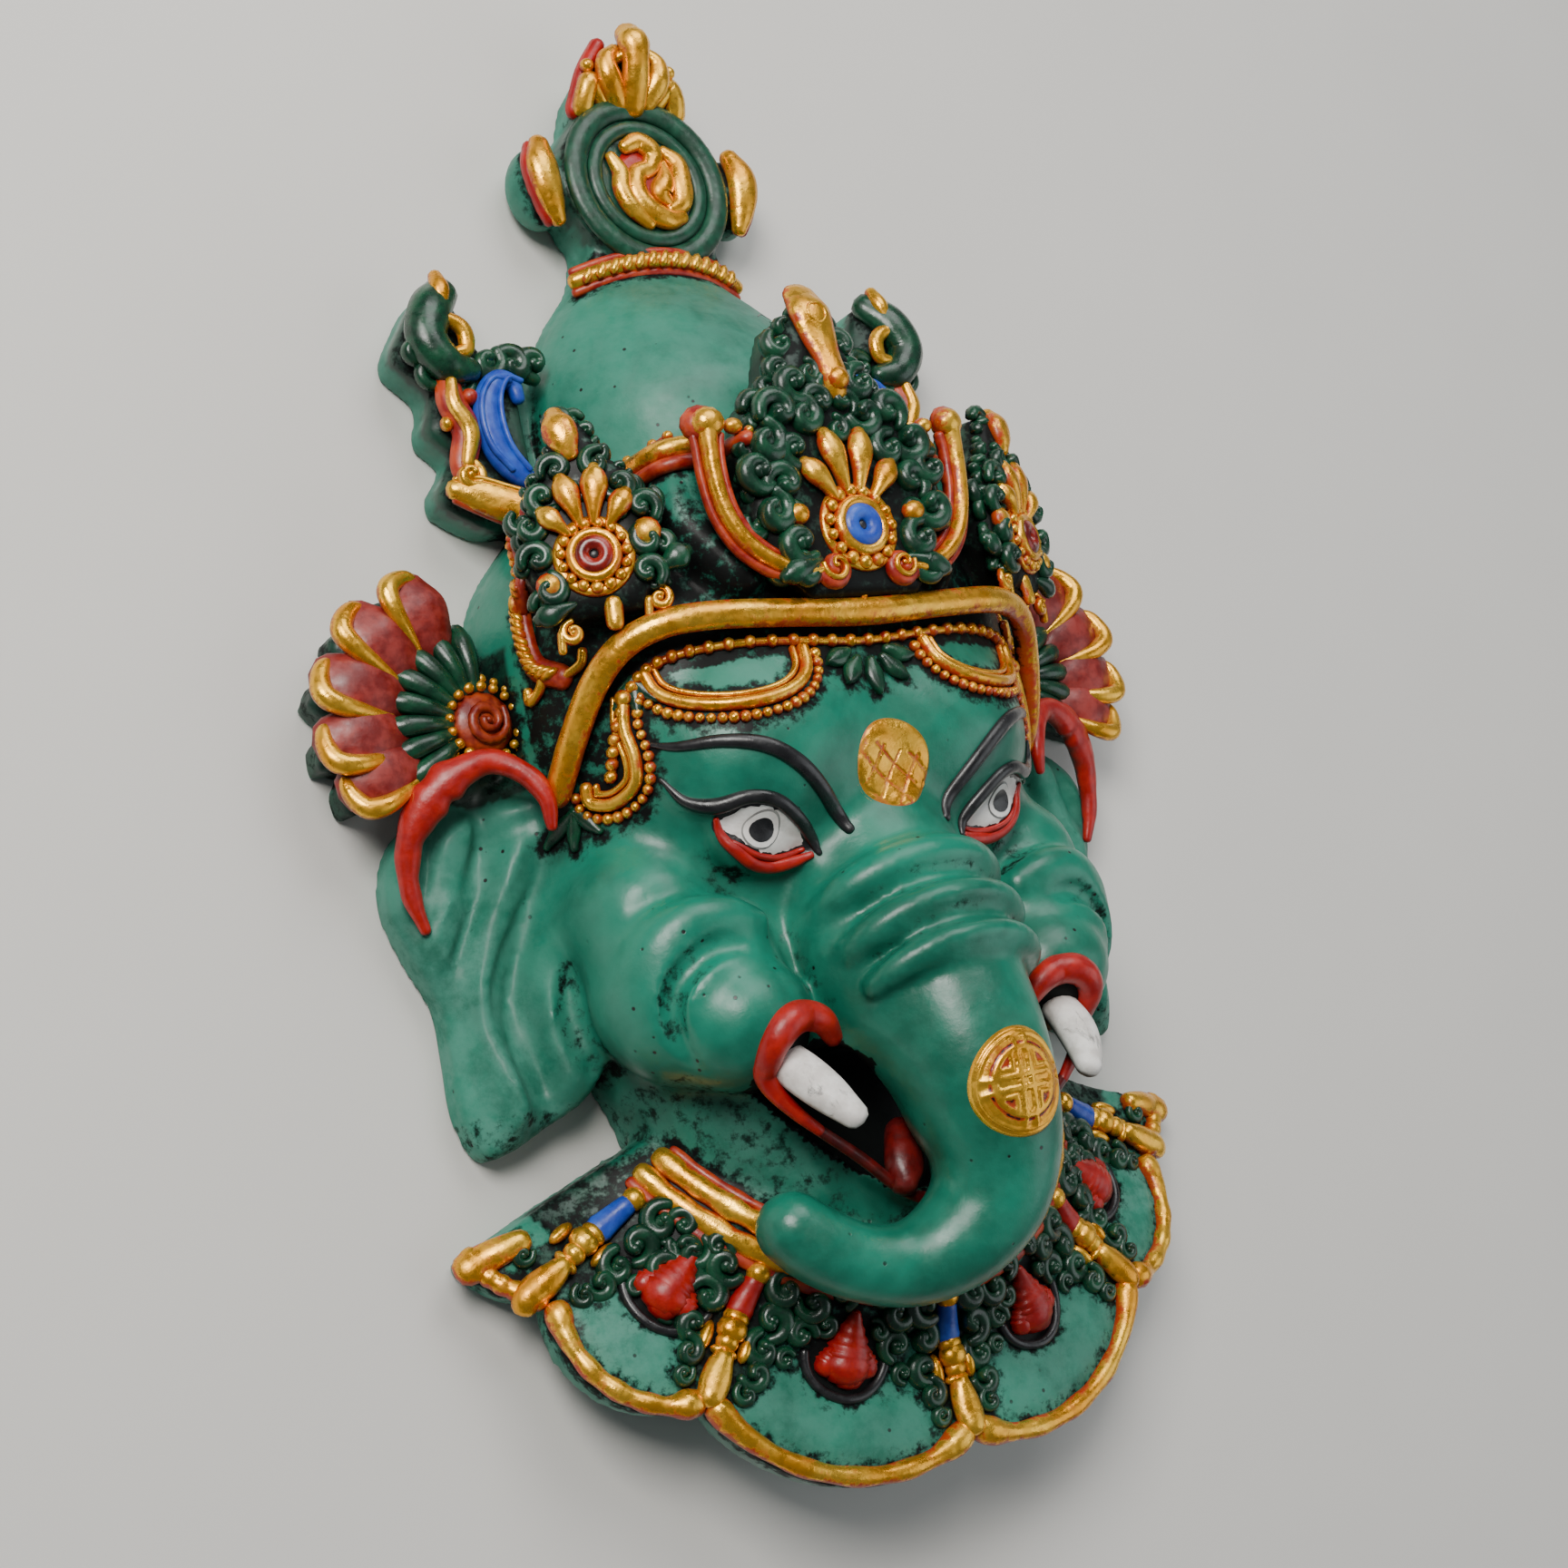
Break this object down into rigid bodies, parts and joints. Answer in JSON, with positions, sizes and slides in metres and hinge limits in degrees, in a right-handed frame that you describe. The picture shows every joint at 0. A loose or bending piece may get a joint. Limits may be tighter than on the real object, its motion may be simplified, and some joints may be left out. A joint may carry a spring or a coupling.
{
  "type": "ganesh mask",
  "caption": "Small cast resin mask of a deity with an elephant's head, jewelled crown, ear fans and scalloped collar, hollow at the back",
  "frame": {"origin": "on the floor plane, under the middle of the mask's length and width", "axes": "the mask lies on its back: +Z out of its face, +Y towards the top of the crown, +X to the viewer's right when the crown is up"},
  "size_m": [0.16, 0.2512, 0.0592],
  "materials": {
    "resin": "waxed turquoise-green cast resin with painted gold, red and black details"
  },
  "bodies": {
    "root": {"mask": "resin"}
  },
  "joints": []
}
